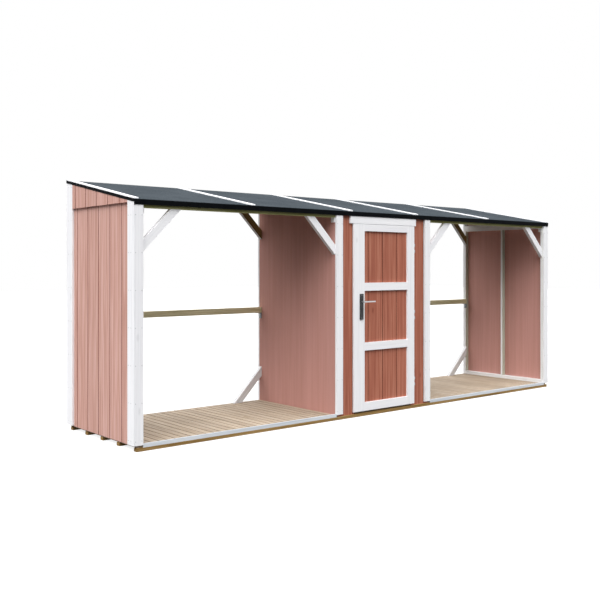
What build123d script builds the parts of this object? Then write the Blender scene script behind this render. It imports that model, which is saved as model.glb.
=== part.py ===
"""Log store: a long lean-to shed with two open log bays and a closed storeroom between them.

Millimetres. +X runs along the front, +Y from front to back, +Z up.
The origin is on the ground under the middle of the roof's plan.
"""
from build123d import *
import os
from math import cos, radians, sqrt, tan

os.makedirs("parts", exist_ok=True)

# Base: bearers laid along the shed, with deck boards from front to back on them
base_length = 5444
base_depth = 1170
bearer_width = 45
bearer_height = 28
bearer_count = 5
bearer_rear_setback = 17
floor_thickness = 19
sill_thickness = 16
sill_height = 30

# Roof: one plane that falls from the back to the front
roof_front_overhang = 20
roof_rear_overhang = 20
roof_side_overhang = 27
roof_pitch = 10.94
eave_height = 1943
deck_thickness = 20
felt_thickness = 3
edge_strip_height = 24
edge_strip_thickness = 3
fascia_height = 43
fascia_thickness = 4
batten_width = 47
batten_setback = 14
batten_height = 9
batten_middle_field = 910
batten_next_field = 1150

# Walls: timber frames with boarding outside and white boards at the corners
frame_depth = 52
stud_width = 24
plate_height = 37
top_plate_height = 74
top_plate_drop = 68
boarding_thickness = 16
boarding_stand_out = 6
boarding_lift = 12
triangle_drop = 21
corner_thickness = 18
corner_front_width = 106
corner_rear_width = 111
wall_inset = 4
trim_thickness = 20
trim_width = 81
store_width = 1300

# Beams, rails and braces of the open bays
beam_thickness = 45
beam_drop = 65
rear_beam_height = 99
rail_height = 58
rail_thickness = 38
rail_bottom = 948
brace_width = 66
brace_thickness = 38
brace_reach = 345
block_width = 12
block_height = 45
bracket_metal = 3
bracket_leg = 57
bracket_width = 34

# Door: a boarded panel behind a white frame of stiles and rails
door_side_margin = 230
door_shift = -13
door_bottom = 48
door_overlap = 30
door_board = 16
door_gap = 6
lock_stile_width = 98
cover_strip_width = 45
hinge_stile_width = 101
bottom_rail_height = 80
middle_rail_height = 76
top_rail_height = 66
door_drop = 115
head_board_gap = 3
head_board_left = 40
head_board_right = 26

# Hinges: three pairs of knuckles on one upright axis
hinge_radius = 5
hinge_pin_radius = 2.5
hinge_running_gap = 0.1
hinge_plate = 2
hinge_plate_width = 26
hinge_knuckle = 30
hinge_end_distance = 220
hinge_edge_gap = 1.5
hinge_end_gap = 0.5

# Lock plates and lever handle
lock_plate_width = 44
lock_plate_height = 243
lock_plate_thickness = 8
lock_plate_drop = 47
lock_backset = 99
lever_axis_height = 1090
lever_length = 150
lever_bar_height = 14
lever_bar_depth = 12
lever_bar_rounding = 5
lever_standoff = 46
lever_neck_radius = 8
spindle_radius = 5
spindle_clearance = 1.5
lever_gap = 1

# Places worked out from the sizes above
roof_depth = base_depth + roof_front_overhang + roof_rear_overhang
roof_front = -roof_depth / 2
roof_rear = roof_depth / 2
roof_side = base_length / 2 + roof_side_overhang
roof_rise = tan(radians(roof_pitch))
roof_build = (deck_thickness + felt_thickness) / cos(radians(roof_pitch))
felt_build = felt_thickness / cos(radians(roof_pitch))
base_front = roof_front + roof_front_overhang
base_rear = base_front + base_depth
base_side = base_length / 2
floor_top = bearer_height + floor_thickness
wall_front = base_front + wall_inset
wall_rear = base_rear - wall_inset
trim_front = wall_front - trim_thickness
trim_rear = wall_rear + trim_thickness
store_side = store_width / 2
top_plate_bottom = eave_height - top_plate_drop
triangle_bottom = eave_height - triangle_drop
beam_bottom = eave_height - beam_drop
gable_boards_outer = base_side + boarding_stand_out
gable_boards_inner = gable_boards_outer - boarding_thickness
gable_face = gable_boards_outer + corner_thickness
bay_outer = gable_boards_inner - frame_depth
store_board_inner = store_side - boarding_thickness
store_frame_inner = store_board_inner - frame_depth
store_front_back = wall_front + boarding_thickness
store_back_front = wall_rear - boarding_thickness
door_width = store_width - 2 * door_side_margin
door_left = door_shift - door_width / 2
door_right = door_shift + door_width / 2
door_top = eave_height - door_drop
door_rails_height = bottom_rail_height + 2 * middle_rail_height + top_rail_height
door_field_height = (door_top - door_bottom - door_rails_height) / 3
opening_left = door_left + door_overlap
opening_right = door_right - door_overlap
opening_top = door_top - door_overlap
sides = (-1, 1)


def roof_top(y):
    """Height of the felt's upper face at a place from front to back."""
    return eave_height + (y - roof_front) * roof_rise


def roof_under(y):
    """Height of the deck's lower face."""
    return roof_top(y) - roof_build


def slab(x_ends, y_ends, z_ends):
    """Add a square-edged board between three pairs of ends."""
    x0, x1 = sorted(x_ends)
    y0, y1 = sorted(y_ends)
    z0, z1 = sorted(z_ends)
    with BuildSketch(Plane.XY.offset(z0)) as outline:
        with Locations(((x0 + x1) / 2, (y0 + y1) / 2)):
            Rectangle(x1 - x0, y1 - y0)
    extrude(outline.sketch, amount=z1 - z0)


def across(x_ends, points):
    """Add a piece of the section given by points (y, z), between two places along the shed."""
    x0, x1 = sorted(x_ends)
    with BuildSketch(Plane.YZ.offset(x0)) as section:
        with BuildLine():
            Polyline(*points, close=True)
        make_face()
    extrude(section.sketch, amount=x1 - x0)


def up_to_roof(x_ends, y_ends, bottom):
    """Add a board that stands on bottom and is cut on top to the roof's slope."""
    y0, y1 = sorted(y_ends)
    across(x_ends, [(y0, bottom), (y1, bottom), (y1, roof_under(y1)), (y0, roof_under(y0))])


def roof_layer(x_ends, y_ends, bottom, top):
    """Add a layer along the slope, between two heights above the felt's upper face."""
    y0, y1 = sorted(y_ends)
    low = [(y0, roof_top(y0) + bottom), (y1, roof_top(y1) + bottom)]
    high = [(y1, roof_top(y1) + top), (y0, roof_top(y0) + top)]
    across(x_ends, low + high)


def brace(corner, towards, y_ends):
    """Add a 45 degree brace across the corner (x, z) of an opening."""
    inner_reach = brace_reach - brace_width * sqrt(2)
    y0, y1 = sorted(y_ends)
    with BuildSketch(Plane.XZ.offset(-y1)) as section:
        with BuildLine():
            Polyline(
                (corner[0] + towards[0] * brace_reach, corner[1]),
                (corner[0] + towards[0] * inner_reach, corner[1]),
                (corner[0], corner[1] + towards[1] * inner_reach),
                (corner[0], corner[1] + towards[1] * brace_reach),
                close=True,
            )
        make_face()
    extrude(section.sketch, amount=y1 - y0)


def upright_rod(x, y, radius, z_ends, mode=Mode.ADD):
    """Add or cut a round rod that stands along Z."""
    with BuildSketch(Plane.XY.offset(z_ends[0])) as section:
        with Locations((x, y)):
            Circle(radius)
    extrude(section.sketch, amount=z_ends[1] - z_ends[0], mode=mode)


def level_rod(x, z, radius, y_ends, mode=Mode.ADD):
    """Add or cut a round rod that lies along Y."""
    y0, y1 = sorted(y_ends)
    with BuildSketch(Plane.XZ.offset(-y1)) as section:
        with Locations((x, z)):
            Circle(radius)
    extrude(section.sketch, amount=y1 - y0, mode=mode)


def finish(part, label):
    """Name a finished piece and write its file."""
    part.label = label
    export_step(part, "parts/" + label + ".step")


# Five bearers, the front one far enough forward to carry the sill boards
first_bearer = base_front - sill_thickness
bearer_pitch = (base_rear - bearer_rear_setback - bearer_width - first_bearer) / (bearer_count - 1)
with BuildPart() as floor_bearers:
    for row in range(bearer_count):
        bearer_front = first_bearer + row * bearer_pitch
        slab((-base_side, base_side), (bearer_front, bearer_front + bearer_width), (0, bearer_height))
finish(floor_bearers.part, "floor_bearers")

# Deck of the two bays and of the storeroom
with BuildPart() as floor_left_bay:
    slab((-gable_boards_inner, -store_side), (base_front, base_rear), (bearer_height, floor_top))
finish(floor_left_bay.part, "floor_left_bay")

with BuildPart() as floor_storeroom:
    slab((-store_side, store_side), (store_front_back, base_rear), (bearer_height, floor_top))
finish(floor_storeroom.part, "floor_storeroom")

with BuildPart() as floor_right_bay:
    slab((store_side, gable_boards_inner), (base_front, base_rear), (bearer_height, floor_top))
finish(floor_right_bay.part, "floor_right_bay")

# White sill board on the front bearer along each open bay, between the post boards
sill_outer = gable_face - trim_width
with BuildPart() as sill_boards:
    for side in sides:
        sill_ends = (side * store_side, side * sill_outer)
        slab(sill_ends, (first_bearer, base_front), (bearer_height, bearer_height + sill_height))
finish(sill_boards.part, "sill_boards")

# Frames of the gables and partitions: studs between a bottom and a top plate
frames = []
for side in sides:
    frames.append(((side * bay_outer, side * gable_boards_inner), (wall_front, wall_rear)))
    frames.append(((side * store_frame_inner, side * store_board_inner), (store_front_back, store_back_front)))

with BuildPart() as wall_studs:
    for x_ends, (front, rear) in frames:
        middle = (front + rear - stud_width) / 2
        for stud_front in (front, middle, rear - stud_width):
            stud_ends = (floor_top + plate_height, top_plate_bottom)
            slab(x_ends, (stud_front, stud_front + stud_width), stud_ends)
finish(wall_studs.part, "wall_studs")

# The deep top plate is level, and only its front end is cut to the roof's slope
top_plate_top = top_plate_bottom + top_plate_height
slope_cut_end = roof_front + (top_plate_top + roof_build - eave_height) / roof_rise
with BuildPart() as wall_plates:
    for x_ends, (front, rear) in frames:
        slab(x_ends, (front, rear), (floor_top, floor_top + plate_height))
        top_plate = [
            (front, top_plate_bottom),
            (rear, top_plate_bottom),
            (rear, top_plate_top),
            (slope_cut_end, top_plate_top),
            (front, roof_under(front)),
        ]
        across(x_ends, top_plate)
finish(wall_plates.part, "wall_plates")

# Gable boarding from front to back, and the boarded triangle laid over it under the roof
corner_front_end = trim_front + corner_front_width
corner_rear_start = trim_rear - corner_rear_width
for side, place in zip(sides, ("left", "right")):
    with BuildPart() as gable_boarding:
        boarding_ends = (side * gable_boards_inner, side * gable_boards_outer)
        up_to_roof(boarding_ends, (wall_front, wall_rear), bearer_height + boarding_lift)
    finish(gable_boarding.part, "gable_boarding_" + place)

    with BuildPart() as gable_triangle:
        triangle_ends = (side * gable_boards_outer, side * gable_face)
        up_to_roof(triangle_ends, (corner_front_end, corner_rear_start), triangle_bottom)
    finish(gable_triangle.part, "gable_triangle_" + place)

with BuildPart() as gable_corner_boards:
    for side in sides:
        board_ends = (side * gable_boards_outer, side * gable_face)
        up_to_roof(board_ends, (wall_front, corner_front_end), floor_top)
        up_to_roof(board_ends, (corner_rear_start, wall_rear), floor_top)
finish(gable_corner_boards.part, "gable_corner_boards")

# Partitions of the storeroom, boarded on the side that faces the bay
for side, place in zip(sides, ("left", "right")):
    with BuildPart() as partition_boarding:
        up_to_roof((side * store_board_inner, side * store_side), (wall_front, wall_rear), floor_top)
    finish(partition_boarding.part, "partition_boarding_" + place)

# Storeroom front, split beside and over the doorway, and its closed back
with BuildPart() as store_front_left:
    up_to_roof((-store_board_inner, opening_left), (wall_front, store_front_back), bearer_height)
finish(store_front_left.part, "store_front_left")

with BuildPart() as store_front_right:
    up_to_roof((opening_right, store_board_inner), (wall_front, store_front_back), bearer_height)
finish(store_front_right.part, "store_front_right")

with BuildPart() as store_front_over_door:
    up_to_roof((opening_left, opening_right), (wall_front, store_front_back), opening_top)
finish(store_front_over_door.part, "store_front_over_door")

with BuildPart() as store_back:
    up_to_roof((-store_board_inner, store_board_inner), (store_back_front, wall_rear), floor_top)
finish(store_back.part, "store_back")

# Door frame behind the boards: two jamb studs and a head piece between them
frame_ends = (store_front_back, store_front_back + beam_thickness)
with BuildPart() as door_jambs:
    slab((opening_left - stud_width, opening_left), frame_ends, (floor_top, beam_bottom))
    slab((opening_right, opening_right + stud_width), frame_ends, (floor_top, beam_bottom))
finish(door_jambs.part, "door_jambs")

with BuildPart() as door_frame_head:
    slab((opening_left, opening_right), frame_ends, (opening_top, opening_top + stud_width))
finish(door_frame_head.part, "door_frame_head")

# White head board over the door, up behind the fascia
with BuildPart() as door_head_board:
    head_ends = (door_left - head_board_left, door_right + head_board_right)
    up_to_roof(head_ends, (trim_front, wall_front), door_top + head_board_gap)
finish(door_head_board.part, "door_head_board")

# White post boards on the front and back faces, at the gables and at the partitions
post_spans = []
for side in sides:
    for outer in (gable_face, store_side):
        post_spans.append((side * outer, side * (outer - trim_width)))

with BuildPart() as front_post_boards:
    for post_ends in post_spans:
        up_to_roof(post_ends, (trim_front, wall_front), floor_top)
finish(front_post_boards.part, "front_post_boards")

with BuildPart() as rear_post_boards:
    for post_ends in post_spans:
        up_to_roof(post_ends, (wall_rear, trim_rear), floor_top)
finish(rear_post_boards.part, "rear_post_boards")

# Beams under the roof's front and back edges, over each bay and over the storeroom
bay_spans = [(-bay_outer, -store_side), (store_side, bay_outer)]
store_span = (-store_frame_inner, store_frame_inner)
with BuildPart() as front_beams:
    for bay_ends in bay_spans:
        up_to_roof(bay_ends, (wall_front, wall_front + beam_thickness), beam_bottom)
    up_to_roof(store_span, (store_front_back, store_front_back + beam_thickness), beam_bottom)
finish(front_beams.part, "front_beams")

rear_beam_bottom = roof_under(wall_rear) - rear_beam_height
with BuildPart() as rear_beams:
    for bay_ends in bay_spans:
        up_to_roof(bay_ends, (wall_rear - beam_thickness, wall_rear), rear_beam_bottom)
    up_to_roof(store_span, (store_back_front - beam_thickness, store_back_front), rear_beam_bottom)
finish(rear_beams.part, "rear_beams")

# Small blocks screwed to the walls under the front beams' ends
with BuildPart() as beam_blocks:
    for bay_ends in bay_spans:
        for end, inward in zip(bay_ends, (1, -1)):
            block_ends = (end, end + inward * block_width)
            slab(block_ends, (wall_front, wall_front + beam_thickness), (beam_bottom - block_height, beam_bottom))
finish(beam_blocks.part, "beam_blocks")

# Middle rails across the open back of each bay, on steel angle brackets
rail_ends = (wall_rear - rail_thickness, wall_rear)
with BuildPart() as rear_rails:
    for bay_ends in bay_spans:
        slab(bay_ends, rail_ends, (rail_bottom, rail_bottom + rail_height))
finish(rear_rails.part, "rear_rails")

bracket_middle = (rail_ends[0] + rail_ends[1]) / 2
bracket_ends = (bracket_middle - bracket_width / 2, bracket_middle + bracket_width / 2)
with BuildPart() as rail_brackets:
    for bay_ends in bay_spans:
        for end, inward in zip(bay_ends, (1, -1)):
            flat_ends = (end, end + inward * bracket_leg)
            upright_ends = (end, end + inward * bracket_metal)
            slab(flat_ends, bracket_ends, (rail_bottom - bracket_metal, rail_bottom))
            slab(upright_ends, bracket_ends, (rail_bottom - bracket_leg, rail_bottom - bracket_metal))
finish(rail_brackets.part, "rail_brackets")

# Braces at the top corners of the open front, below the blocks, and at all corners of the back
front_brace_ends = (wall_front, wall_front + brace_thickness)
with BuildPart() as front_braces:
    for bay_ends in bay_spans:
        for end, inward in zip(bay_ends, (1, -1)):
            brace((end, beam_bottom), (inward, -1), front_brace_ends)
finish(front_braces.part, "front_braces")

with BuildPart() as rear_braces:
    for bay_ends in bay_spans:
        for end, inward in zip(bay_ends, (1, -1)):
            brace((end, rear_beam_bottom), (inward, -1), rail_ends)
            brace((end, floor_top), (inward, 1), rail_ends)
finish(rear_braces.part, "rear_braces")

# Roof: deck, felt over it, and white battens along its edges and field joints
deck_side = roof_side - edge_strip_thickness
deck_rear = roof_rear - fascia_thickness
with BuildPart() as roof_deck:
    deck_ends = (roof_front + fascia_thickness, deck_rear)
    roof_layer((-deck_side, deck_side), deck_ends, -roof_build, -felt_build)
finish(roof_deck.part, "roof_deck")

with BuildPart() as roof_felt:
    roof_layer((-deck_side, deck_side), (roof_front, deck_rear), -felt_build, 0)
finish(roof_felt.part, "roof_felt")

inner_batten = batten_middle_field / 2
outer_batten = inner_batten + batten_next_field
batten_middles = [side * reach for side in sides for reach in (inner_batten, outer_batten)]
batten_middles += [side * (roof_side - batten_width / 2) for side in sides]
with BuildPart() as roof_battens:
    for middle in batten_middles:
        batten_ends = (middle - batten_width / 2, middle + batten_width / 2)
        roof_layer(batten_ends, (roof_front + batten_setback, roof_rear), 0, batten_height)
finish(roof_battens.part, "roof_battens")

# Black metal edges: a deep fascia along the front, a shallow strip on the sides and the back
with BuildPart() as roof_fascia:
    fascia_back = roof_front + fascia_thickness
    fascia_section = [
        (roof_front, eave_height - fascia_height),
        (fascia_back, eave_height - fascia_height),
        (fascia_back, roof_top(fascia_back) - felt_build),
        (roof_front, eave_height - felt_build),
    ]
    across((-deck_side, deck_side), fascia_section)
finish(roof_fascia.part, "roof_fascia")

with BuildPart() as roof_side_strips:
    for side in sides:
        roof_layer((side * deck_side, side * roof_side), (roof_front, roof_rear), -edge_strip_height, 0)
finish(roof_side_strips.part, "roof_side_strips")

with BuildPart() as roof_rear_strip:
    roof_layer((-deck_side, deck_side), (deck_rear, roof_rear), -edge_strip_height, 0)
finish(roof_rear_strip.part, "roof_rear_strip")

# Door leaf: the boarded panel stands in the doorway, the white frame laps over its edges
leaf_back = wall_front - door_gap
leaf_front = leaf_back - door_board
panel_back = leaf_back + door_board
lock_x = door_left + lock_backset
spindle_hole = spindle_radius + spindle_clearance
with BuildPart() as door_panel:
    panel_ends = (opening_left + door_gap, opening_right - door_gap)
    slab(panel_ends, (leaf_back, panel_back), (floor_top + door_gap, opening_top - door_gap))
    level_rod(lock_x, lever_axis_height, spindle_hole, (leaf_back, panel_back), Mode.SUBTRACT)
finish(door_panel.part, "door_panel")

lock_stile_left = door_left + cover_strip_width
lock_stile_right = lock_stile_left + lock_stile_width
hinge_stile_left = door_right - hinge_stile_width
with BuildPart() as door_lock_stile:
    slab((lock_stile_left, lock_stile_right), (leaf_front, leaf_back), (door_bottom, door_top))
    level_rod(lock_x, lever_axis_height, spindle_hole, (leaf_front, leaf_back), Mode.SUBTRACT)
finish(door_lock_stile.part, "door_lock_stile")

with BuildPart() as door_cover_strip:
    slab((door_left, lock_stile_left), (leaf_front, leaf_back), (door_bottom, door_top))
finish(door_cover_strip.part, "door_cover_strip")

with BuildPart() as door_hinge_stile:
    slab((hinge_stile_left, door_right), (leaf_front, leaf_back), (door_bottom, door_top))
finish(door_hinge_stile.part, "door_hinge_stile")

first_field = door_bottom + bottom_rail_height
rail_levels = [(door_bottom, first_field), (door_top - top_rail_height, door_top)]
for row in (1, 2):
    rail_level = first_field + row * (door_field_height + middle_rail_height)
    rail_levels.append((rail_level - middle_rail_height, rail_level))
with BuildPart() as door_rails:
    for heights in rail_levels:
        slab((lock_stile_right, hinge_stile_left), (leaf_front, leaf_back), heights)
finish(door_rails.part, "door_rails")

# Hinges: the frame side carries the pin and the end knuckles, the leaf side the middle one
hinge_x = door_right + hinge_edge_gap + hinge_radius
hinge_y = wall_front - hinge_plate - hinge_radius
hinge_middles = [
    door_bottom + hinge_end_distance,
    (door_bottom + door_top) / 2,
    door_top - hinge_end_distance,
]
inner_end = hinge_knuckle / 2 + hinge_end_gap
outer_end = hinge_knuckle * 1.5
with BuildPart() as hinge_frame_sides:
    for level in hinge_middles:
        for knuckle_ends in ((level - outer_end, level - inner_end), (level + inner_end, level + outer_end)):
            upright_rod(hinge_x, hinge_y, hinge_radius, knuckle_ends)
            slab((hinge_x, hinge_x + hinge_radius), (hinge_y, wall_front), knuckle_ends)
            slab((hinge_x, hinge_x + hinge_plate_width), (wall_front - hinge_plate, wall_front), knuckle_ends)
        upright_rod(hinge_x, hinge_y, hinge_pin_radius, (level - outer_end, level + outer_end))
finish(hinge_frame_sides.part, "hinge_frame_sides")

with BuildPart() as hinge_leaf_sides:
    for level in hinge_middles:
        knuckle_ends = (level - hinge_knuckle / 2, level + hinge_knuckle / 2)
        plate_front = hinge_y - hinge_radius
        slab((door_right, hinge_x), (plate_front, plate_front + hinge_plate), knuckle_ends)
        upright_rod(hinge_x, hinge_y, hinge_radius, knuckle_ends)
        upright_rod(hinge_x, hinge_y, hinge_pin_radius + hinge_running_gap, knuckle_ends, Mode.SUBTRACT)
finish(hinge_leaf_sides.part, "hinge_leaf_sides")

# Long lock plates on both faces of the leaf, with the spindle's hole through them
outer_plate_front = leaf_front - lock_plate_thickness
inner_plate_back = panel_back + lock_plate_thickness
with BuildPart() as lock_plates:
    plate_ends = (lock_x - lock_plate_width / 2, lock_x + lock_plate_width / 2)
    plate_middle = lever_axis_height - lock_plate_drop
    plate_heights = (plate_middle - lock_plate_height / 2, plate_middle + lock_plate_height / 2)
    slab(plate_ends, (outer_plate_front, leaf_front), plate_heights)
    slab(plate_ends, (panel_back, inner_plate_back), plate_heights)
    plate_faces = (outer_plate_front, inner_plate_back)
    level_rod(lock_x, lever_axis_height, spindle_hole, plate_faces, Mode.SUBTRACT)
finish(lock_plates.part, "lock_plates")

# Lever handle: one spindle through the leaf, with a neck and a bar on each face
neck_roots = (outer_plate_front - lever_gap, inner_plate_back + lever_gap)
with BuildPart() as lever_handle:
    level_rod(lock_x, lever_axis_height, spindle_radius, neck_roots)
    for root, outward in zip(neck_roots, (-1, 1)):
        bar_middle = root + outward * (lever_standoff - lever_bar_depth / 2)
        level_rod(lock_x, lever_axis_height, lever_neck_radius, (root, bar_middle))
        with BuildSketch(Plane.YZ.offset(lock_x - 1.5 * lever_neck_radius)):
            with Locations((bar_middle, lever_axis_height)):
                RectangleRounded(lever_bar_depth, lever_bar_height, lever_bar_rounding)
        extrude(amount=lever_length)
finish(lever_handle.part, "lever_handle")
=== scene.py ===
import math
import random

import bmesh
import bpy
from mathutils import Matrix, Vector


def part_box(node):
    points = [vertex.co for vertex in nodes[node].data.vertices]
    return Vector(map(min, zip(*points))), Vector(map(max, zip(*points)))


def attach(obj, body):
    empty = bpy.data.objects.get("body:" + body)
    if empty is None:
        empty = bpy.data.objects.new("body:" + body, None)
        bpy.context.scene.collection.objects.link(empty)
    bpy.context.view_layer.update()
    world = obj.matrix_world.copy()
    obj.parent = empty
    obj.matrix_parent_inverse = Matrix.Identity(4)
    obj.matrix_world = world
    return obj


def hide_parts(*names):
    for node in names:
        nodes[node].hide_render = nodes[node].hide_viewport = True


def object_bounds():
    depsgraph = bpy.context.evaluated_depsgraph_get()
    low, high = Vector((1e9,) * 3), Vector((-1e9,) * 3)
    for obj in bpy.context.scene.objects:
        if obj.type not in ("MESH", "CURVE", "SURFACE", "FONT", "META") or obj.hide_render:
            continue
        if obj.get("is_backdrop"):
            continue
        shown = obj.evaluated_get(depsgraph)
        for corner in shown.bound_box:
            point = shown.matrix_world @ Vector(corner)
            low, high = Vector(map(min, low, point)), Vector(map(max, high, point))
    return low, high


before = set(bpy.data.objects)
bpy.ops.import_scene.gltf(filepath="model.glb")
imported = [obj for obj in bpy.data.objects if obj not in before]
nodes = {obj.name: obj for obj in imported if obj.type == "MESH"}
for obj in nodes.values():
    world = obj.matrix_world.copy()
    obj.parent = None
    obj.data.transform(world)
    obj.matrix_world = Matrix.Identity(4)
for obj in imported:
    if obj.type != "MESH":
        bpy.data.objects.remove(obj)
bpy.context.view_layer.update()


# Bearers. Five lengths of pressure-treated pine lie along the shed and carry the floor.
# They are sawn, so the faces are rough, and the treatment leaves them a dull yellow brown.
def linear(hex_code):
    """An sRGB hex colour as linear red, green, blue and alpha."""
    channels = [int(hex_code[i:i + 2], 16) / 255 for i in (1, 3, 5)]
    return [c / 12.92 if c <= 0.04045 else ((c + 0.055) / 1.055) ** 2.4 for c in channels] + [1.0]


def add_node(tree, kind, settings=None, inputs=None):
    """A shader node with its settings, and its inputs set or linked."""
    node = tree.nodes.new(kind)
    for name, value in (settings or {}).items():
        setattr(node, name, value)
    for name, value in (inputs or {}).items():
        if isinstance(value, bpy.types.NodeSocket):
            tree.links.new(value, node.inputs[name])
        else:
            node.inputs[name].default_value = value
    return node


def empty_material(name):
    """A new material with no nodes in it."""
    material = bpy.data.materials.new(name)
    material.use_nodes = True
    material.node_tree.nodes.clear()
    return material, material.node_tree


def ramp(tree, factor, stops):
    """A colour ramp through (position, hex colour) stops."""
    node = add_node(tree, "ShaderNodeValToRGB", inputs={"Fac": factor})
    points = node.color_ramp.elements
    while len(points) < len(stops):
        points.new(0.5)
    for point, (position, hex_code) in zip(points, stops):
        point.position = position
        point.color = linear(hex_code)
    return node.outputs["Color"]


grain_turns = {"X": (0, math.pi / 2, 0), "Y": (-math.pi / 2, 0, 0), "Z": (0, 0, 0)}


def timber(name, tones, along, streak_mm, relief_mm, roughness, knot=None, spread=0.10, fibre=0.10):
    """Softwood with streaks and fibres along its grain; tones are the dark, middle and light of it.
    Spread is how far boards differ from one another, and fibre how far the fibres do."""
    material, tree = empty_material(name)
    place = add_node(tree, "ShaderNodeTexCoord").outputs["Object"]
    if along == "brace":
        # Folds the bays' corners onto one another, so that one turned grain fits every brace
        bay_middle = 1.655
        opening_middle = 0.98
        for centre in ((0, 0, opening_middle), (bay_middle, 0, 0)):
            inputs = {0: place, 1: centre}
            place = add_node(tree, "ShaderNodeVectorMath", {"operation": "SUBTRACT"}, inputs).outputs[0]
            place = add_node(tree, "ShaderNodeVectorMath", {"operation": "ABSOLUTE"}, {0: place}).outputs[0]
    tone = add_node(tree, "ShaderNodeAttribute", {"attribute_name": "board_tone"}).outputs["Fac"]
    # Shifts the pattern from board to board, so that no two show the same piece of grain
    inputs = {0: (5.3, 3.7, 9.1), "Scale": tone}
    shift = add_node(tree, "ShaderNodeVectorMath", {"operation": "SCALE"}, inputs).outputs[0]
    place = add_node(tree, "ShaderNodeVectorMath", {"operation": "ADD"}, {0: place, 1: shift}).outputs[0]
    turn = (0, -math.pi / 4, 0) if along == "brace" else grain_turns[along]

    def grain(across_mm, length_mm, detail, distortion):
        size = (across_mm / 1000, across_mm / 1000, length_mm / 1000)
        inputs = {"Vector": place, "Rotation": turn, "Scale": size}
        held = add_node(tree, "ShaderNodeMapping", {"vector_type": "TEXTURE"}, inputs).outputs[0]
        inputs = {"Vector": held, "Scale": 1.0, "Detail": detail, "Roughness": 0.55}
        inputs["Distortion"] = distortion
        return add_node(tree, "ShaderNodeTexNoise", None, inputs).outputs["Fac"]

    streaks = grain(streak_mm, streak_mm * 45, 3.0, 0.35)
    # Fibres are drawn 3 mm wide, because real ones of half a millimetre would not show
    fibres = grain(3.0, 160.0, 2.0, 0.0)
    colour = ramp(tree, streaks, ((0.34, tones[0]), (0.50, tones[1]), (0.66, tones[2])))
    # Every board came from another tree, so each is a shade lighter or darker than the next
    inputs = {"Value": tone, "To Min": 1 - spread, "To Max": 1 + spread}
    shade = add_node(tree, "ShaderNodeMapRange", None, inputs).outputs[0]
    inputs = {0: colour, "Scale": shade}
    colour = add_node(tree, "ShaderNodeVectorMath", {"operation": "SCALE"}, inputs).outputs[0]
    inputs = {"Value": fibres, "From Min": 0.3, "From Max": 0.7, "To Min": 1 - fibre}
    inputs["To Max"] = 1 + fibre / 2
    lines = add_node(tree, "ShaderNodeMapRange", None, inputs).outputs[0]
    inputs = {0: colour, "Scale": lines}
    colour = add_node(tree, "ShaderNodeVectorMath", {"operation": "SCALE"}, inputs).outputs[0]
    if knot:
        # Metres from knot to knot, across and along the grain
        inputs = {"Vector": place, "Rotation": turn, "Scale": (0.16, 0.16, 0.42)}
        spaced = add_node(tree, "ShaderNodeMapping", {"vector_type": "TEXTURE"}, inputs).outputs[0]
        inputs = {"Vector": spaced, "Scale": 1.0, "Randomness": 1.0}
        reach = add_node(tree, "ShaderNodeTexVoronoi", None, inputs).outputs["Distance"]
        inputs = {"Value": reach, "From Min": 0.04, "From Max": 0.10, "To Min": 1.0, "To Max": 0.0}
        soft_edge = {"interpolation_type": "SMOOTHSTEP"}
        inside = add_node(tree, "ShaderNodeMapRange", soft_edge, inputs).outputs[0]
        inputs = {0: inside, 6: colour, 7: linear(knot)}
        colour = add_node(tree, "ShaderNodeMix", {"data_type": "RGBA"}, inputs).outputs[2]
    height = add_node(tree, "ShaderNodeMath", {"operation": "ADD"}, {0: fibres, 1: streaks}).outputs[0]
    inputs = {"Height": height, "Strength": 0.6, "Distance": relief_mm / 1000}
    bump = add_node(tree, "ShaderNodeBump", None, inputs).outputs[0]
    # Open-pored wood scatters most of what a smooth face would reflect, so its gloss is set low
    inputs = {"Base Color": colour, "Roughness": roughness, "Normal": bump, "Specular IOR Level": 0.1}
    surface = add_node(tree, "ShaderNodeBsdfPrincipled", None, inputs)
    add_node(tree, "ShaderNodeOutputMaterial", None, {"Surface": surface.outputs[0]})
    return material


def finish_node(name, material):
    """Gives a CAD node its real finish."""
    nodes[name].data.materials.clear()
    nodes[name].data.materials.append(material)


bearer_tones = ("#7B5F37", "#9C7D4C", "#B09163")
finish_node("floor_bearers", timber("treated_sawn_pine", bearer_tones, "X", 14, 0.8, 0.80, knot="#6B5230"))


# Floor boards. Narrow planed spruce boards run from front to back, nailed to the bearers,
# laid close, with their upper edges eased so that each board shows.
def pick_edges(piece, wanted):
    """Opens the piece for editing with only the wanted edges selected."""
    bpy.ops.object.select_all(action="DESELECT")
    piece.select_set(True)
    bpy.context.view_layer.objects.active = piece
    bpy.ops.object.mode_set(mode="EDIT")
    bpy.ops.mesh.select_mode(type="EDGE")
    bpy.ops.mesh.select_all(action="DESELECT")
    shell = bmesh.from_edit_mesh(piece.data)
    for edge in shell.edges:
        edge.select_set(wanted(edge.verts[0].co, edge.verts[1].co))
    bmesh.update_edit_mesh(piece.data)


def new_board(low, high, easing, run, face=(0, 0, 0)):
    """One sawn board between two corners. Its edges along axis run are planed off,
    either all four or only the two on the side that face points to."""
    bpy.ops.object.select_all(action="DESELECT")
    middle = (Vector(low) + Vector(high)) / 2
    bpy.ops.mesh.primitive_cube_add(size=1, location=middle, scale=Vector(high) - Vector(low))
    board = bpy.context.active_object
    bpy.ops.object.transform_apply(location=True, rotation=True, scale=True)
    others = [axis for axis in range(3) if axis != run]

    def planed(a, b):
        lengthwise = all(abs(a[axis] - b[axis]) < 1e-6 for axis in others)
        return lengthwise and (a - middle).dot(Vector(face)) >= 0

    pick_edges(board, planed)
    bpy.ops.mesh.bevel(offset=easing, segments=1, affect="EDGES")
    bpy.ops.object.mode_set(mode="OBJECT")
    return board


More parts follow.
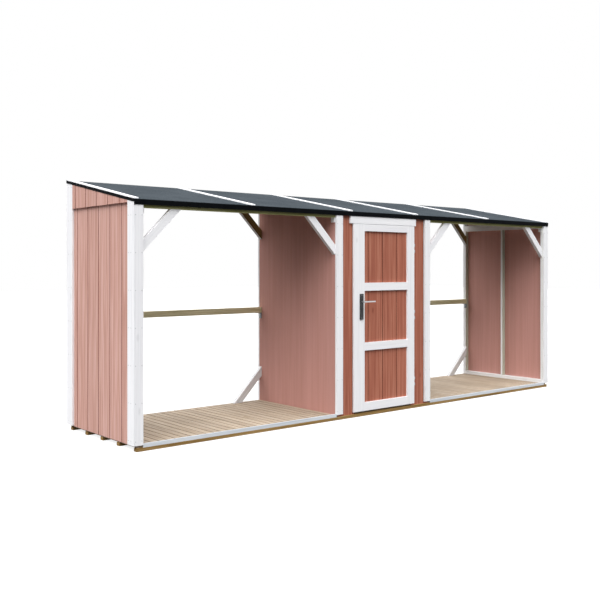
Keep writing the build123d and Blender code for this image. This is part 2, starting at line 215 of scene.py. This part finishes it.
def repeat(piece, moves):
    """Moved copies of a piece, each with a mesh of its own; the piece itself is the first."""
    copies = [piece]
    for _ in moves[1:]:
        copy = piece.copy()
        copy.data = piece.data.copy()
        bpy.context.scene.collection.objects.link(copy)
        copies.append(copy)
    for copy, move in zip(copies, moves):
        copy.data.transform(Matrix.Translation(move))
    return copies


def join(pieces):
    """Makes one piece of several."""
    bpy.ops.object.select_all(action="DESELECT")
    for piece in pieces:
        piece.select_set(True)
    bpy.context.view_layer.objects.active = pieces[0]
    bpy.ops.object.join()
    return pieces[0]


def board_row(board, axis, step, count, seed):
    """Copies of one board side by side, each with a tone of its own, joined as one piece."""
    chance = random.Random(seed)
    direction = Vector([step if place == axis else 0 for place in range(3)])
    row = repeat(board, [direction * number for number in range(count)])
    for piece in row:
        tone = piece.data.attributes.new("board_tone", "FLOAT", "POINT")
        tone.data.foreach_set("value", [chance.random()] * len(piece.data.vertices))
    return join(row)


def saw(piece, point, outwards):
    """Cuts the piece along a plane, and takes away what lies outwards of it."""
    bpy.ops.object.select_all(action="DESELECT")
    piece.select_set(True)
    bpy.context.view_layer.objects.active = piece
    bpy.ops.object.mode_set(mode="EDIT")
    bpy.ops.mesh.select_all(action="SELECT")
    bpy.ops.mesh.bisect(plane_co=point, plane_no=outwards, use_fill=True, clear_outer=True)
    bpy.ops.object.mode_set(mode="OBJECT")


def settle(piece, name, material, body, replaced):
    """Names a finished piece, gives it its material, and fixes it to the body that it rides on."""
    piece.name = name
    piece.data.name = name
    piece.data.materials.clear()
    piece.data.materials.append(material)
    if replaced:
        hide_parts(replaced)
    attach(piece, body)


def finish_faces(piece, material, wanted):
    """Gives a further material to those faces of a piece that are wanted."""
    piece.data.materials.append(material)
    for face in piece.data.polygons:
        if wanted(face):
            face.material_index = len(piece.data.materials) - 1


floor_tones = ("#978773", "#AB9B88", "#BBAD9C")
floor_spruce = timber("planed_floor_spruce", floor_tones, "Y", 10, 0.3, 0.62, knot="#86745C", spread=0.09)
joint_tones = ("#4A3E32", "#5B4D3F", "#6B5B4B")
floor_joint = timber("floor_spruce_in_joints", joint_tones, "Y", 10, 0.3, 0.7)
floor_pitch = 0.074
floor_gap = 0.001
floor_easing = 0.0035
for number, node in enumerate(("floor_left_bay", "floor_storeroom", "floor_right_bay")):
    low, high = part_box(node)
    board_end = (low.x + floor_pitch - floor_gap, high.y, high.z)
    board = new_board(low, board_end, floor_easing, 1, (0, 0, 1))
    count = math.ceil((high.x - low.x) / floor_pitch)
    row = board_row(board, 0, floor_pitch, count, 11 + number)
    saw(row, high, (1, 0, 0))
    settle(row, "deck_boards" + node[5:], floor_spruce, "shed", node)
    finish_faces(row, floor_joint, lambda part: abs(part.normal.x) > 0.5 and part.normal.z > 0.1)


# Floor nails. Two bright wire nails hold every floor board to each bearer.
# Their flat round heads are driven flush and shine a little.
def metal(name, base, metallic, roughness, scuff_mm, relief_mm, specular=0.5):
    """A metal or coated surface with faint marks of a given size in its colour and gloss."""
    material, tree = empty_material(name)
    place = add_node(tree, "ShaderNodeTexCoord").outputs["Object"]
    inputs = {"Vector": place, "Scale": 1000 / scuff_mm, "Detail": 3.0, "Roughness": 0.6}
    marks = add_node(tree, "ShaderNodeTexNoise", None, inputs).outputs["Fac"]
    colour = ramp(tree, marks, ((0.3, base[0]), (0.7, base[1])))
    inputs = {"Value": marks, "To Min": roughness - 0.08, "To Max": roughness + 0.08}
    gloss = add_node(tree, "ShaderNodeMapRange", None, inputs).outputs[0]
    inputs = {"Height": marks, "Strength": 0.4, "Distance": relief_mm / 1000}
    bump = add_node(tree, "ShaderNodeBump", None, inputs).outputs[0]
    inputs = {"Base Color": colour, "Metallic": metallic, "Roughness": gloss, "Normal": bump}
    inputs["Specular IOR Level"] = specular
    surface = add_node(tree, "ShaderNodeBsdfPrincipled", None, inputs)
    add_node(tree, "ShaderNodeOutputMaterial", None, {"Surface": surface.outputs[0]})
    return material


def fixings(name, places, outwards, radius, material, body):
    """Low round heads at the given places, each with a small sunken middle, facing outwards."""
    rise = 0.001
    bpy.ops.object.select_all(action="DESELECT")
    bpy.ops.mesh.primitive_cylinder_add(vertices=10, radius=radius, depth=2 * rise)
    head = bpy.context.active_object
    bpy.ops.object.mode_set(mode="EDIT")
    bpy.ops.mesh.select_mode(type="FACE")
    bpy.ops.mesh.select_all(action="DESELECT")
    shell = bmesh.from_edit_mesh(head.data)
    for face in shell.faces:
        face.select_set(face.normal.z > 0.9)
    bmesh.update_edit_mesh(head.data)
    bpy.ops.mesh.inset(thickness=radius * 0.55)
    bpy.ops.transform.translate(value=(0, 0, -rise * 0.8))
    bpy.ops.object.mode_set(mode="OBJECT")
    head.data.transform(Vector(outwards).to_track_quat("Z", "Y").to_matrix().to_4x4())
    heads = join(repeat(head, [Vector(place) for place in places]))
    settle(heads, name, material, body, None)


zinc = metal("galvanised_steel", ("#9EA1A3", "#BFC2C4"), 1.0, 0.42, 8, 0.05)
bearer_low, bearer_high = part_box("floor_bearers")
bearer_count = 5
bearer_width = 0.045
bearer_step = (bearer_high.y - bearer_low.y - bearer_width) / (bearer_count - 1)
nail_end_margin = 0.018
nail_insets = (0.016, 0.052)
nail_radius = 0.003
nail_places = []
for node in ("floor_left_bay", "floor_storeroom", "floor_right_bay"):
    low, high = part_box(node)
    for number in range(math.floor((high.x - low.x) / floor_pitch)):
        for bearer in range(bearer_count):
            bearer_front = bearer_low.y + bearer * bearer_step
            y = max(bearer_front + bearer_width / 2, low.y + nail_end_margin)
            for aside in nail_insets:
                if y < bearer_front + bearer_width:
                    nail_places.append((low.x + number * floor_pitch + aside, y, high.z))
fixings("floor_nails", nail_places, (0, 0, 1), nail_radius, zinc, "shed")


# Sill boards. A white-painted board covers the ends of the floor boards in front of each bay.
# The paint is opaque over planed spruce, with the odd knot just showing through.
def white_paint(name, along):
    """Opaque satin white paint over planed softwood."""
    tones = ("#EAEAED", "#EFEFF2", "#F3F3F5")
    return timber(name, tones, along, 16, 0.25, 0.5, knot="#E2E2E5", spread=0.0, fibre=0.02)


white_level = white_paint("white_painted_spruce_level", "X")
white_upright = white_paint("white_painted_spruce_upright", "Z")
sill_tones = ("#BEC4CB", "#CCD1D7", "#D7DBDF")
sill_paint = timber("blue_white_painted_sill", sill_tones, "X", 16, 0.25, 0.5, spread=0.0, fibre=0.03)
finish_node("sill_boards", sill_paint)

# Wall frames. Studs stand between a bottom and a top plate in both gables and both partitions.
# They are planed pine, lightly treated and near white on their inner faces. Their sides are drawn greener
# and darker, which is painted shade.
frame_tones = ("#F0F1F1", "#F9F9FA", "#FCFCFD")
shaded_side_tones = ("#B4B8A6", "#C6CAB8", "#D4D7C8")
pale_upright = timber("pale_planed_pine_upright", frame_tones, "Z", 12, 0.3, 0.65, knot="#D6CFBA")
finish_node("wall_studs", pale_upright)
# The faces towards front and back get a darker, greener copy of the same wood: painted shade.
shaded_side_upright = timber("pine_upright_painted_shade", shaded_side_tones, "Z", 12, 0.3, 0.65, knot="#A5A994")
finish_faces(nodes["wall_studs"], shaded_side_upright, lambda face: abs(face.normal.y) > 0.5)
pale_along = timber("pale_planed_pine_along", frame_tones, "Y", 12, 0.3, 0.65, knot="#D6CFBA")
finish_node("wall_plates", pale_along)

# Gable boarding. Wide tongue-and-groove boards stand on the floor's edge, in the front's brick-red stain,
# drawn outside as a paler, pinker brick red, which is painted light.
# They meet in V joints, where the stain gathers and dries darker, and are cut on top to the roof's slope.
deck_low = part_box("roof_deck")[0]
roof_slope = math.radians(10.94)
under_roof_out = (0, -math.sin(roof_slope), math.cos(roof_slope))
cladding_pitch = 0.1985


def joint_row(low, high, axis, face, joint, depth, seed):
    """Upright boards between two corners, whose joints fall at joint and at every pitch from it."""
    first = joint - cladding_pitch * math.ceil((joint - low[axis]) / cladding_pitch)
    near = Vector(low)
    far = Vector(high)
    near[axis] = first
    far[axis] = first + cladding_pitch
    board = new_board(near, far, depth, 2, face)
    row = board_row(board, axis, cladding_pitch, math.ceil((high[axis] - first) / cladding_pitch), seed)
    ends = Vector((0, 0, 0))
    ends[axis] = 1
    if first < low[axis] - 1e-6:
        saw(row, low, -ends)
    saw(row, high, ends)
    return row


def clad(name, node, axis, face, joint, depth, stain, joint_stain, seed):
    """Replaces a wall's plain panel with stained boards, their V joints on the side of face."""
    low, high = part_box(node)
    row = joint_row(low, high, axis, face, joint, depth, seed)
    saw(row, deck_low, under_roof_out)
    settle(row, name, stain, "shed", node)
    outwards = Vector(face)

    def planed(part):
        return abs(part.normal[axis]) > 0.5 and part.normal.dot(outwards) > 0.5

    finish_faces(row, joint_stain, planed)
    return row


# The outer stain and its joints are the front's stain drawn paler and pinker: painted light.
gable_tones_with_painted_light = ("#B78A7D", "#C79B8F", "#D3ACA3")
gable_stain_with_painted_light = timber("brick_stain_on_spruce_painted_light", gable_tones_with_painted_light, "Z", 18, 0.4, 0.6, spread=0.03, fibre=0.07)
gable_joint_tones_with_painted_light = ("#5C2C22", "#6C382C", "#7A4436")
gable_joint_stain_with_painted_light = timber("brick_stain_in_joints_painted_light", gable_joint_tones_with_painted_light, "Z", 22, 0.3, 0.7)
inside_tones = ("#BA8A80", "#BE8E85", "#C29289")
inside_stain = timber("thin_brick_stain_on_spruce", inside_tones, "Z", 30, 0.3, 0.6, spread=0.025,
                      fibre=0.03)
gable_joint = -0.369
gable_joint_depth = 0.004
for side, place in ((-1, "left"), (1, "right")):
    boards = clad("gable_boards_" + place, "gable_boarding_" + place, 1, (side, 0, 0), gable_joint,
                  gable_joint_depth, gable_stain_with_painted_light, gable_joint_stain_with_painted_light, 22 + side)
    finish_faces(boards, inside_stain, lambda part: part.normal.x * side < -0.5)

# Gable triangles. Short boards close the gable under the roof, one board's thickness further out,
# so that water drips off clear of the boards below. Their joints lie a saw cut's width further back.
saw_cut = 0.004
# The triangles take the gable's stain, with its painted light.
for side, place in ((-1, "left"), (1, "right")):
    clad("gable_top_boards_" + place, "gable_triangle_" + place, 1, (side, 0, 0), gable_joint + saw_cut,
         gable_joint_depth, gable_stain_with_painted_light, gable_joint_stain_with_painted_light, 24 + side)

# Corner boards. White-painted boards close the gable boarding at the front and at the back.
# They are planed spruce under opaque paint, so the grain barely shows.
finish_node("gable_corner_boards", white_upright)

# Partitions. The storeroom's side walls are boarded on the bays' side with the same boards,
# laid back side out, so the bays see smooth boards with joints as fine as a pencil line.
smooth_joint_depth = 0.0005
for side, place in ((-1, "left"), (1, "right")):
    clad("partition_boards_" + place, "partition_boarding_" + place, 1, (side, 0, 0), gable_joint,
         smooth_joint_depth, inside_stain, inside_stain, 26 + side)

# Storeroom front and back. Tongue-and-groove boards in a deep red-brown stain, which has sunk in
# unevenly and shows the grain of each board as darker and lighter streaks.
front_tones = ("#985948", "#A96854", "#B57863")
front_stain = timber("deep_brick_stain_on_spruce", front_tones, "Z", 16, 0.5, 0.55, knot="#8A5040",
                     spread=0.04, fibre=0.05)
front_joint_tones = ("#30170F", "#401F16", "#4E281D")
front_joint_stain = timber("deep_brick_stain_in_joints", front_joint_tones, "Z", 16, 0.3, 0.7)
front_joint = -0.030
front_joint_depth = 0.003
for number, place in enumerate(("left", "right", "over_door")):
    clad("front_boards_" + place, "store_front_" + place, 0, (0, -1, 0), front_joint, front_joint_depth,
         front_stain, front_joint_stain, 31 + number)
clad("back_boards", "store_back", 0, (0, 1, 0), front_joint, front_joint_depth, front_stain,
     front_joint_stain, 34)

# Door frame. Two jamb studs and a head piece of treated pine stand behind the front boards.
# The copper salts of the treatment leave the wood a dull green.
beam_tones = ("#97965F", "#B1B077", "#C3C290")
finish_node("door_jambs", timber("treated_pine_upright", beam_tones, "Z", 12, 0.4, 0.7, knot="#7F7D4C"))
beam_pine = timber("treated_pine_level", beam_tones, "X", 12, 0.4, 0.7, knot="#7F7D4C")
finish_node("door_frame_head", beam_pine)

# Head board and post boards. White-painted boards trim the door's top and the wall ends,
# screwed on in front of the red boards.
finish_node("door_head_board", white_level)
finish_node("front_post_boards", white_upright)
finish_node("rear_post_boards", white_upright)

# Screws in the post and corner boards. Two rows of zinc-plated screws run up each board,
# their round heads drawn flush with the paint.
# How far the two edges of each post board are from the middle of the shed
post_reaches = ((2.746, 2.665), (0.650, 0.569))
screw_inset = 0.013
lowest_screw = 0.08
screw_step = 0.29
screw_radius = 0.0032
sides = (("front", "front_post_boards", -1, 7), ("rear", "rear_post_boards", 1, 8))
for place, node, outwards, rows in sides:
    low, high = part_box(node)
    face = low.y if outwards < 0 else high.y
    spots = []
    for reaches in post_reaches:
        for reach in (max(reaches) - screw_inset, min(reaches) + screw_inset):
            for side in (-1, 1):
                for row in range(rows):
                    spots.append((side * reach, face, lowest_screw + screw_step * row))
    fixings("post_board_screws_" + place, spots, (0, outwards, 0), screw_radius, zinc, "shed")

low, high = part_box("gable_corner_boards")
corner_rows = ((low.y + 0.030, 7), (low.y + 0.070, 7), (high.y - 0.070, 8), (high.y - 0.020, 8))
for side, place in ((-1, "left"), (1, "right")):
    spots = []
    for y, rows in corner_rows:
        for row in range(rows):
            spots.append((side * high.x, y, lowest_screw + screw_step * row))
    fixings("corner_board_screws_" + place, spots, (side, 0, 0), screw_radius, zinc, "shed")

# Draught strip. A thin white strip on the front boards closes the gap between the head board
# and the door. It is a planed lath, painted with the boards around it.
head_low, head_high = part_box("door_head_board")
leaf_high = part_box("door_hinge_stile")[1]
strip_thickness = 0.004
strip_lap = 0.008
strip_left_inset = 0.045
strip_right_inset = 0.004
strip_easing = 0.0005
strip_low = (head_low.x + strip_left_inset, head_high.y - strip_thickness, leaf_high.z - strip_lap)
strip_high = (leaf_high.x - strip_right_inset, head_high.y, head_low.z)
strip = new_board(strip_low, strip_high, strip_easing, 0)
settle(strip, "door_draught_strip", white_level, "shed", None)

# Beams and blocks. Treated pine beams hang under the roof's front and back edges.
# A small block screwed to the wall holds up each end of the front ones.
finish_node("front_beams", beam_pine)
finish_node("rear_beams", beam_pine)
finish_node("beam_blocks", pale_upright)

# Middle rails. One treated rail crosses the open back of each bay and keeps the logs in.
# Galvanised angle brackets hold its ends, in a dull dark grey.
rail_tones = ("#D6D1A5", "#EEEAC2", "#FBFAD8")
finish_node("rear_rails", timber("treated_pine_rail", rail_tones, "X", 12, 0.4, 0.7, knot="#A0926A"))
dull_zinc = metal("dull_galvanised_steel", ("#55595B", "#73787A"), 1.0, 0.55, 8, 0.05)
finish_node("rail_brackets", dull_zinc)
low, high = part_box("rail_brackets")
middle = (low.y + high.y) / 2
# Where the walls on the left and on the right of both bays have their faces
left_walls = (-2.660, 0.650)
right_walls = (2.660, -0.650)
bracket_metal = 0.003
bracket_screw_rises = (0.010, 0.034)
bracket_screw_radius = 0.004
for name, facing, walls in (("left", 1, left_walls), ("right", -1, right_walls)):
    spots = []
    for reach in walls:
        for rise in bracket_screw_rises:
            spots.append((reach + facing * bracket_metal, middle, low.z + rise))
    fixings("bracket_screws_" + name, spots, (facing, 0, 0), bracket_screw_radius, zinc, "shed")

# Braces. Short boards cut at 45 degrees stiffen the corners of the open bays.
# The front ones are painted white. At the back the upper ones are brown treated pine with pale faces
# underneath, and the lower ones are pale all round.
finish_node("front_braces", white_paint("white_painted_brace", "brace"))
brown_tones = ("#7A6538", "#947E4E", "#A69263")
grey_tones = ("#D9DBDD", "#E7E9EB", "#EFF1F3")
brown_brace = timber("brown_treated_pine_brace", brown_tones, "brace", 10, 0.4, 0.7, knot="#665329")
finish_node("rear_braces", brown_brace)
pale_brace = timber("pale_pine_brace", grey_tones, "brace", 10, 0.4, 0.7, knot="#B4B0A8")
rail_level = 0.9
finish_faces(nodes["rear_braces"], pale_brace,
             lambda face: face.center.z < rail_level or face.normal.z < -0.5)

# Roof deck. Sheathing boards of untreated spruce carry the felt. They are seen only from below
# and at the edges. Their brown is partly age and partly painted shade from the roof over them.
aged_and_shaded_deck_tones = ("#57492F", "#6E5D40", "#80704F")
finish_node("roof_deck", timber("roof_sheathing_spruce_aged_and_painted_shade", aged_and_shaded_deck_tones, "X", 12, 0.4, 0.75, knot="#4A3D26"))

# Roofing felt. Bitumen felt faced with crushed slate, rolled out over the deck.
# The grit is drawn about three times its real size, because finer grains would not show.
felt, tree = empty_material("slate_faced_bitumen_felt")
place = add_node(tree, "ShaderNodeTexCoord").outputs["Object"]
grit_mm = 6
cloud_mm = 350
grit = add_node(tree, "ShaderNodeTexVoronoi", None, {"Vector": place, "Scale": 1000 / grit_mm})
inputs = {"Vector": place, "Scale": 1000 / cloud_mm, "Detail": 4.0}
clouds = add_node(tree, "ShaderNodeTexNoise", None, inputs)
grains = ramp(tree, grit.outputs["Color"], ((0.1, "#262B30"), (0.5, "#383E43"), (0.9, "#4C5257")))
patches = ramp(tree, clouds.outputs["Fac"], ((0.35, "#33393E"), (0.65, "#3F454A")))
colour = add_node(tree, "ShaderNodeMix", {"data_type": "RGBA"}, {0: 0.45, 6: patches, 7: grains}).outputs[2]
inputs = {"Height": grit.outputs["Distance"], "Strength": 0.5, "Distance": 0.001}
bump = add_node(tree, "ShaderNodeBump", None, inputs).outputs[0]
inputs = {"Base Color": colour, "Roughness": 0.92, "Normal": bump, "Specular IOR Level": 0.02}
surface = add_node(tree, "ShaderNodeBsdfPrincipled", None, inputs)
add_node(tree, "ShaderNodeOutputMaterial", None, {"Surface": surface.outputs[0]})
finish_node("roof_felt", felt)

# Roof battens. White-painted strips cover the felt's joints and hold down its edges.
# They are planed spruce laths that run down the slope, under the same paint as the boards below.
finish_node("roof_battens", white_paint("white_painted_batten", "Y"))

# Batten nails. Each batten is held by one row of clout nails, driven through it into the deck.
# They have broad flat heads in bright zinc.
low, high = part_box("roof_battens")
half_batten = 0.0235
inner_battens = (-1.605, -0.455, 0.455, 1.605)
first_nail = 0.05
batten_nail_step = 0.27
batten_nail_radius = 0.0045
spots = []
for x in (low.x + half_batten, *inner_battens, high.x - half_batten):
    for row in range(5):
        y = high.y - first_nail - batten_nail_step * row
        spots.append((x, y, high.z - (high.y - y) * math.tan(roof_slope)))
fixings("batten_nails", spots, under_roof_out, batten_nail_radius, zinc, "shed")

# Fascia and edge strips. Folded steel with a black plastic coat closes the roof's edges.
# The coat is matt and slightly uneven, so it reflects next to nothing.
black_steel = metal("black_coated_steel", ("#07080A", "#0E1013"), 0.0, 0.55, 60, 0.05, specular=0.02)
for node in ("roof_fascia", "roof_side_strips", "roof_rear_strip"):
    finish_node(node, black_steel)

# Door leaf. Upright boards in the front's stain close the door, with the front's V joints.
# A white-painted frame of stiles and rails is screwed on in front of them.
low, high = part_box("door_panel")
row = joint_row(low, high, 0, (0, -1, 0), front_joint, front_joint_depth, 41)
settle(row, "door_boards", front_stain, "door", "door_panel")
finish_faces(row, front_joint_stain, lambda part: abs(part.normal.x) > 0.5 and part.normal.y < -0.5)
for node in ("door_lock_stile", "door_cover_strip", "door_hinge_stile"):
    finish_node(node, white_upright)
finish_node("door_rails", white_level)

# Hinges. Three butt hinges carry the door, their frame sides screwed to the front boards.
# They are pressed steel with bright zinc plating.
finish_node("hinge_frame_sides", zinc)
finish_node("hinge_leaf_sides", zinc)
low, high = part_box("hinge_frame_sides")
half_hinge = 0.045
hinge_metal = 0.002
hinge_screw_inset = 0.008
hinge_screw_rise = 0.030
small_screw_radius = 0.0035
spots = []
for level in (low.z + half_hinge, (low.z + high.z) / 2, high.z - half_hinge):
    for rise in (-hinge_screw_rise, hinge_screw_rise):
        spots.append((high.x - hinge_screw_inset, high.y - hinge_metal, level + rise))
fixings("hinge_screws", spots, (0, -1, 0), small_screw_radius, zinc, "shed")

# Lock plates and lever. Two long plates in black powder coat cover the lock, one on each face
# of the door. The lever handle is stainless steel, brushed to a satin gloss.
powder_coat = metal("black_powder_coat", ("#0D0E10", "#1B1D20"), 0.0, 0.5, 3, 0.05)
finish_node("lock_plates", powder_coat)
satin_steel = metal("satin_stainless_steel", ("#B4B5B7", "#CBCCCE"), 1.0, 0.3, 5, 0.02)
finish_node("lever_handle", satin_steel)

# Lock cylinder and plate screws. The cylinder stands a little out of both plates below the lever,
# a round barrel over a narrower foot, with a raised plug and its upright key slot.
# The slot is a thin black piece on the plug's face: painted shade for the dark inside the keyway.
low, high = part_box("lock_plates")
lock_x = (low.x + high.x) / 2
barrel_z = 1.018
barrel_and_plug = ((0.0085, 0.004), (0.0065, 0.006))
barrel_easing = 0.0004
foot_half_width = 0.005
foot_drop = 0.0245
foot_rise = 0.002
foot_easing = 0.0015
slot_face = 0.0026
slot_half_width = 0.0007
slot_half_depth = 0.0006
slot_foot = 0.0045
slot_top = 0.0035
slot_easing = 0.0002
plate_screw_margin = 0.012
# A black piece stands for the dark inside the keyway: painted shade.
keyway_shade = metal("key_slot_painted_shade", ("#050505", "#0A0A0A"), 0.0, 0.7, 3, 0.02)
for outwards, face, place in ((-1, low.y, "outside"), (1, high.y, "inside")):
    pieces = []
    for radius, depth in barrel_and_plug:
        bpy.ops.object.select_all(action="DESELECT")
        bpy.ops.mesh.primitive_cylinder_add(vertices=32, radius=radius, depth=depth)
        round_piece = bpy.context.active_object
        pick_edges(round_piece, lambda a, b: a.z * b.z > 0 and a.z > 0)
        bpy.ops.mesh.bevel(offset=barrel_easing, segments=2, affect="EDGES")
        bpy.ops.object.mode_set(mode="OBJECT")
        round_piece.data.transform(Vector((0, outwards, 0)).to_track_quat("Z", "Y").to_matrix().to_4x4())
        round_piece.data.transform(Matrix.Translation((lock_x, face, barrel_z)))
        pieces.append(round_piece)
    foot_low = (lock_x - foot_half_width, face - foot_rise, barrel_z - foot_drop)
    foot_high = (lock_x + foot_half_width, face + foot_rise, barrel_z)
    foot = new_board(foot_low, foot_high, foot_easing, 1)
    cylinder = join(pieces + [foot])
    settle(cylinder, "lock_cylinder_" + place, powder_coat, "door", None)
    slot_y = face + outwards * slot_face
    slot_low = (lock_x - slot_half_width, slot_y - slot_half_depth, barrel_z - slot_foot)
    slot_high = (lock_x + slot_half_width, slot_y + slot_half_depth, barrel_z + slot_top)
    slot = new_board(slot_low, slot_high, slot_easing, 2)
    settle(slot, "key_slot_" + place, keyway_shade, "door", None)
    spots = [(lock_x, face, low.z + plate_screw_margin), (lock_x, face, high.z - plate_screw_margin)]
    fixings("lock_plate_screws_" + place, spots, (0, outwards, 0), small_screw_radius, zinc, "door")


# Floor of the studio. A pale plane that reads as white paper and keeps a soft shadow of the shed.
# To the light that reaches the shed it is dark, so that it throws no glow up under the roof.
def background_rays(tree):
    """One for a ray that sees the background, straight on or in a reflection, and else nought."""
    rays = add_node(tree, "ShaderNodeLightPath").outputs
    inputs = {0: rays["Is Camera Ray"], 1: rays["Is Glossy Ray"]}
    seen = add_node(tree, "ShaderNodeMath", {"operation": "MAXIMUM"}, inputs).outputs[0]
    inputs = {0: seen, 1: rays["Is Transmission Ray"]}
    return add_node(tree, "ShaderNodeMath", {"operation": "MAXIMUM"}, inputs).outputs[0]


bpy.ops.object.select_all(action="DESELECT")
floor_metres = 80
bpy.ops.mesh.primitive_plane_add(size=floor_metres)
ground = bpy.context.active_object
ground.name = "studio_floor"
paper, tree = empty_material("white_paper_sweep")
plain = add_node(tree, "ShaderNodeBsdfDiffuse", None, {"Color": (0.06, 0.06, 0.06, 1)})
faint = add_node(tree, "ShaderNodeBsdfDiffuse", None, {"Color": (0.22, 0.22, 0.22, 1)})
glow = add_node(tree, "ShaderNodeEmission", None, {"Color": (1, 1, 1, 1), "Strength": 0.85})
bright = add_node(tree, "ShaderNodeAddShader", None, {0: faint.outputs[0], 1: glow.outputs[0]})
inputs = {0: background_rays(tree), 1: plain.outputs[0], 2: bright.outputs[0]}
mixed = add_node(tree, "ShaderNodeMixShader", None, inputs)
add_node(tree, "ShaderNodeOutputMaterial", None, {"Surface": mixed.outputs[0]})
ground.data.materials.append(paper)
ground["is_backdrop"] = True

# Light. A bright even studio, brightest straight up and a little brighter on the left,
# with one broad lamp high on the left of the front. The camera sees the studio as plain white.
sky_level = 4.75
sky_falloff = 1.7
world = bpy.data.worlds.new("studio")
bpy.context.scene.world = world
world.use_nodes = True
tree = world.node_tree
tree.nodes.clear()
sky = add_node(tree, "ShaderNodeTexCoord").outputs["Generated"]
up = add_node(tree, "ShaderNodeSeparateXYZ", None, {"Vector": sky}).outputs["Z"]
up = add_node(tree, "ShaderNodeMath", {"operation": "MAXIMUM"}, {0: up, 1: 0.0}).outputs[0]
up = add_node(tree, "ShaderNodeMath", {"operation": "POWER"}, {0: up, 1: sky_falloff}).outputs[0]
inputs = {0: sky, 1: (-0.25, -0.05, 0.0)}
left = add_node(tree, "ShaderNodeVectorMath", {"operation": "DOT_PRODUCT"}, inputs).outputs["Value"]
left = add_node(tree, "ShaderNodeMath", {"operation": "ADD"}, {0: left, 1: 1.0}).outputs[0]
level = add_node(tree, "ShaderNodeMath", {"operation": "MULTIPLY"}, {0: up, 1: left}).outputs[0]
level = add_node(tree, "ShaderNodeMath", {"operation": "MULTIPLY"}, {0: level, 1: sky_level}).outputs[0]
air = add_node(tree, "ShaderNodeBackground", None, {"Color": (1, 1, 1, 1), "Strength": level})
white = add_node(tree, "ShaderNodeBackground", None, {"Color": (1, 1, 1, 1), "Strength": 1.0})
inputs = {0: background_rays(tree), 1: air.outputs[0], 2: white.outputs[0]}
mixed = add_node(tree, "ShaderNodeMixShader", None, inputs)
add_node(tree, "ShaderNodeOutputWorld", None, {"Surface": mixed.outputs[0]})
lamp = bpy.data.lights.new("broad_lamp", "SUN")
lamp.energy = 1.2
lamp.angle = math.radians(35)
lamp_object = bpy.data.objects.new("broad_lamp", lamp)
bpy.context.scene.collection.objects.link(lamp_object)
lamp_aim = Vector((0.55, 0.40, -0.72))
lamp_object.rotation_euler = lamp_aim.to_track_quat("-Z", "Y").to_euler()

# Camera. It stands level, at the eye height and distance of the photograph, to the left of the front.
# The picture is shifted and not tilted, so that all uprights stay parallel.
focal_pixels = 832.26
horizon_pixels = 266.89
frame_pixels = 600
camera = bpy.data.cameras.new("camera")
camera.sensor_width = 36
camera.lens = focal_pixels / frame_pixels * camera.sensor_width
camera.shift_y = (horizon_pixels - frame_pixels / 2) / frame_pixels
camera.clip_end = 200
camera_object = bpy.data.objects.new("camera", camera)
bpy.context.scene.collection.objects.link(camera_object)
camera_object.location = (-5.8551, -6.2890, 1.42)
camera_object.rotation_euler = (math.pi / 2, 0, math.radians(-39.94))
bpy.context.scene.camera = camera_object
bpy.context.scene.view_settings.view_transform = "Standard"

low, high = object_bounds()
